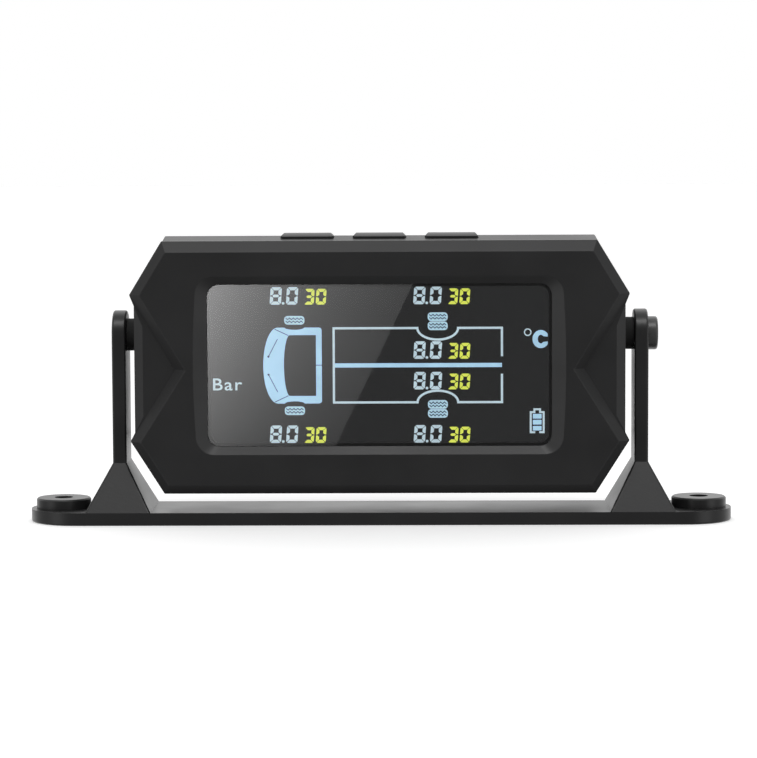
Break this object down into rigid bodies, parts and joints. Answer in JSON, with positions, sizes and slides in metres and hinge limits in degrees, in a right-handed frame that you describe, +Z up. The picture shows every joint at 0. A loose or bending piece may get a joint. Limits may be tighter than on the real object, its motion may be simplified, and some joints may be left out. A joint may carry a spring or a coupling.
{
  "type": "tire pressure monitor",
  "caption": "Tire pressure display in a faceted housing with push buttons on top, held between the arms of a screw-down bracket so that it tilts.",
  "frame": {"origin": "middle of the bracket's underside", "axes": "+Z up, +X to the viewer's right along the bracket, -Y towards the viewer (the screen)"},
  "size_m": [0.196, 0.031, 0.0805],
  "materials": {
    "bracket_plastic": "fine moulded texture, satin",
    "housing_plastic": "fine moulded texture, satin",
    "button_plastic": "smooth satin",
    "spacer_rubber": "matt",
    "lens": "clear gloss window",
    "lcd_glass": "dark liquid crystal panel",
    "white_plastic": "plain",
    "led_yellow": "plain",
    "tape": "foam and adhesive",
    "board_green": "solder mask",
    "chip_black": "moulded",
    "battery_foil": "laminated foil",
    "lead_red": "insulation",
    "brass": "turned",
    "steel": "plain",
    "black_steel": "blackened"
  },
  "bodies": {
    "bracket": {"bracket": "bracket_plastic", "pivot_pin": "steel"},
    "display": {"pivot_bush": "brass", "threaded_insert": "brass", "spacer_left": "spacer_rubber", "spacer_right": "spacer_rubber", "front_bezel": "housing_plastic", "rear_cover": "housing_plastic", "screen_lens": "lens", "lens_tape": "tape", "lcd_panel": "lcd_glass", "lcd_holder": "white_plastic", "light_guide": "white_plastic", "reflector_sheet": "white_plastic", "backlight_leds": "led_yellow", "connector_strips": "tape", "main_board": "board_green", "controller_chip": "chip_black", "receiver_can": "steel", "antenna_coil": "brass", "buzzer": "chip_black", "battery_cell": "battery_foil", "battery_pad": "tape", "battery_leads": "lead_red", "battery_socket": "white_plastic", "charging_socket": "steel", "tact_switches": "chip_black", "housing_screws": "black_steel", "board_screws": "steel"},
    "clamp_washer": {"clamp_washer": "steel"},
    "clamp_screw": {"clamp_screw": "black_steel"},
    "button_left": {"button_left": "button_plastic", "switch_plunger_left": "chip_black"},
    "button_centre": {"button_centre": "button_plastic", "switch_plunger_centre": "chip_black"},
    "button_right": {"button_right": "button_plastic", "switch_plunger_right": "chip_black"}
  },
  "joints": [
    {"name": "tilt", "type": "hinge", "parent": "bracket", "child": "display", "pos_m": [0, 0, 0.0522], "axis": [1, 0, 0], "continuous": true},
    {"name": "clamp_travel", "type": "slide", "parent": "display", "child": "clamp_washer", "axis": [1, 0, 0], "range_m": [0, 0.0016]},
    {"name": "clamp_turn", "type": "hinge", "parent": "clamp_washer", "child": "clamp_screw", "pos_m": [0, 0, 0.0522], "axis": [1, 0, 0], "range_deg": [0, 720]},
    {"name": "press_left", "type": "slide", "parent": "display", "child": "button_left", "axis": [0, 0, -1], "range_m": [0, 0.0005], "stiffness_N_per_m": 4000},
    {"name": "press_centre", "type": "slide", "parent": "display", "child": "button_centre", "axis": [0, 0, -1], "range_m": [0, 0.0005], "stiffness_N_per_m": 4000},
    {"name": "press_right", "type": "slide", "parent": "display", "child": "button_right", "axis": [0, 0, -1], "range_m": [0, 0.0005], "stiffness_N_per_m": 4000}
  ],
  "couplings": [
    {"joint": "clamp_turn", "follows": "clamp_travel", "rad_per_m": 7854}
  ]
}
